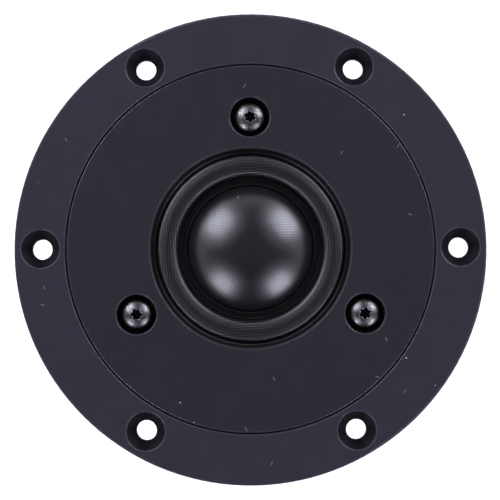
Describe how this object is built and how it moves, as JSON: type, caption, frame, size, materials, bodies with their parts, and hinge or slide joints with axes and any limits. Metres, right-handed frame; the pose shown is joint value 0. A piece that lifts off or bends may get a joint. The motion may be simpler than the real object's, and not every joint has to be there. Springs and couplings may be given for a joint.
{
  "type": "dome tweeter",
  "caption": "Flanged soft-dome tweeter: countersunk mounting ring, screwed front plate, wide roll surround, open slug-magnet motor, rear chamber and blade terminals.",
  "frame": {"origin": "centre of the mounting ring's back face, the plane that sits on the panel", "axes": "+Z out of the dome, -Y towards the terminals"},
  "size_m": [0.104, 0.104, 0.0549],
  "materials": {
    "ring_anodised": "satin black anodised, bead blasted",
    "plate_anodised": "satin black anodised, bead blasted",
    "screw_black": "black zinc",
    "dome_textile": "coated weave, satin",
    "surround_textile": "doped weave, matte",
    "foam_black": "matte foam",
    "former_aluminium": "satin",
    "winding_copper": "enamelled",
    "lead_wire": "tinsel",
    "plastic_black": "matte moulded",
    "chamber_plastic": "matte, fine grain",
    "plate_steel": "black phosphate",
    "pole_steel": "turned",
    "magnet_nickel": "nickel plated",
    "cap_copper": "drawn copper",
    "felt_grey": "felt",
    "terminal_tin": "tin plated",
    "polarity_red": "paint",
    "label_foil": "blank satin foil"
  },
  "bodies": {
    "chassis": {"mounting_ring": "ring_anodised", "front_plate": "plate_anodised", "front_screws": "screw_black", "flange_gasket": "foam_black", "front_gasket": "foam_black", "terminal_positive": "terminal_tin", "terminal_negative": "terminal_tin", "terminal_block": "plastic_black", "polarity_dot": "polarity_red", "diaphragm_ring": "plastic_black", "top_plate": "plate_steel", "magnet_carrier": "plastic_black", "pole_piece": "pole_steel", "pole_cap": "cap_copper", "pole_felt": "felt_grey", "vent_foam": "foam_black", "bottom_plate": "plate_steel", "rear_chamber": "chamber_plastic", "rear_label": "label_foil", "chamber_gasket": "foam_black", "chamber_wool": "felt_grey", "chamber_screws": "screw_black", "magnet_1": "magnet_nickel", "magnet_2": "magnet_nickel", "magnet_3": "magnet_nickel", "magnet_4": "magnet_nickel", "magnet_5": "magnet_nickel", "magnet_6": "magnet_nickel"},
    "diaphragm": {"dome": "dome_textile", "coil_former": "former_aluminium", "voice_coil": "winding_copper", "surround": "surround_textile", "coil_lead_positive": "lead_wire", "coil_lead_negative": "lead_wire"}
  },
  "joints": [
    {"name": "dome_travel", "type": "slide", "parent": "chassis", "child": "diaphragm", "axis": [0, 0, 1], "range_m": [-0.0008, 0.0008], "stiffness_N_per_m": 4400, "deforming": ["surround", "coil_lead_positive", "coil_lead_negative"]}
  ]
}
